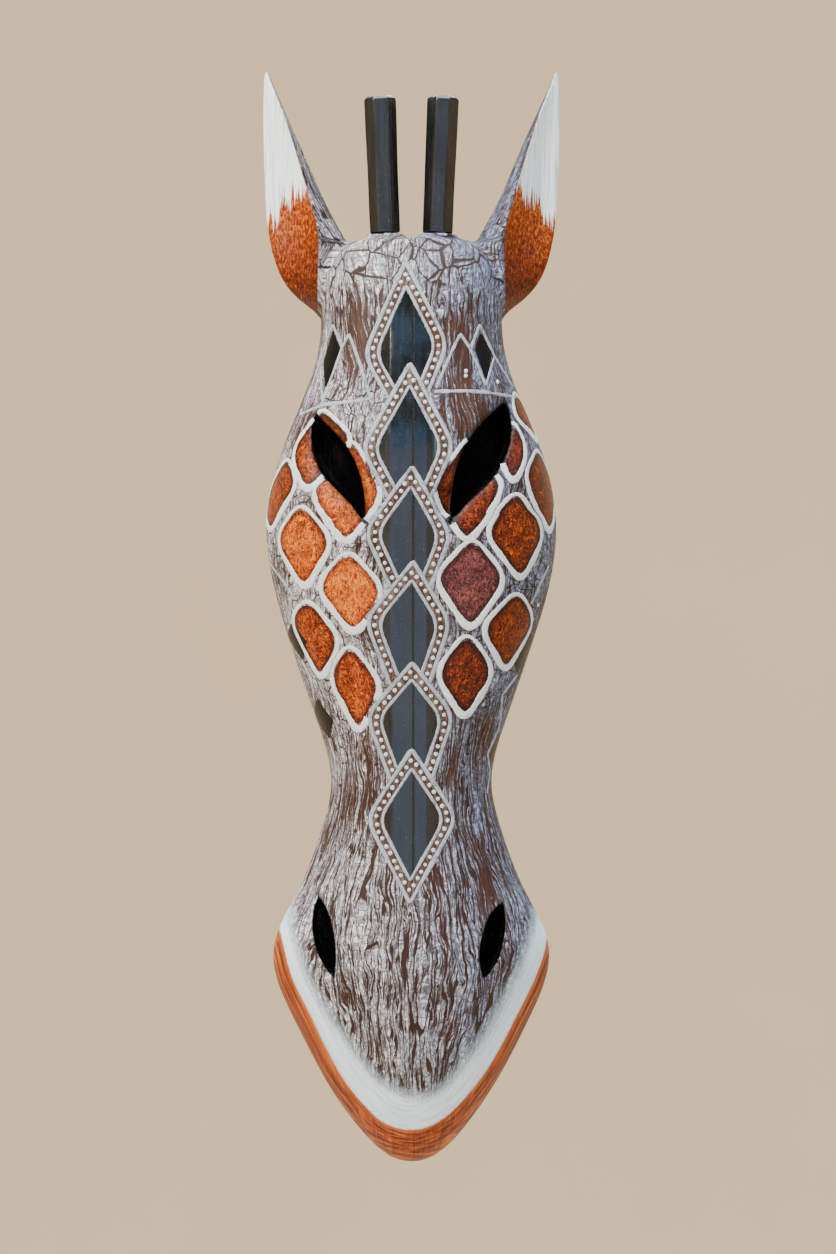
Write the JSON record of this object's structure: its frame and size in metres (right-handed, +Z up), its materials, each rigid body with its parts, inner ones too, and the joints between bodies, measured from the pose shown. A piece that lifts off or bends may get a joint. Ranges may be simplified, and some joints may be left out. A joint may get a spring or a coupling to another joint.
{
  "type": "giraffe head wall mask",
  "caption": "Carved wooden giraffe head that hangs flat on a wall, with two round-tenoned horns, a hollowed back and a strap hanger with a swinging wire ring.",
  "frame": {"origin": "the point of the wall plane behind the inside top of the hanging ring, where the nail comes out of the wall", "axes": "+Z up the head from chin to ears, +Y out of the flat back into the wall, the face looks along -Y, +X to the right as seen from the front"},
  "size_m": [0.1374, 0.0749, 0.5],
  "materials": {
    "painted_wood": "matt whitewash over brown stain, with lacquered spots and black lacquer lozenges",
    "black_lacquered_wood": "satin black lacquer",
    "strap_steel": "zinc plated, dulled",
    "ring_wire": "zinc plated wire, drawn",
    "screw_steel": "zinc plated, worn at the slot"
  },
  "bodies": {
    "head": {"carved_head": "painted_wood", "left_ossicone": "black_lacquered_wood", "right_ossicone": "black_lacquered_wood", "hanger_strap": "strap_steel", "hanger_screws": "screw_steel"},
    "ring": {"hanger_ring": "ring_wire"}
  },
  "joints": [
    {"name": "ring_hinge", "type": "hinge", "parent": "head", "child": "ring", "pos_m": [0, -0.00952, -0.01568], "axis": [-1, 0, 0], "range_deg": [0, 180]}
  ]
}
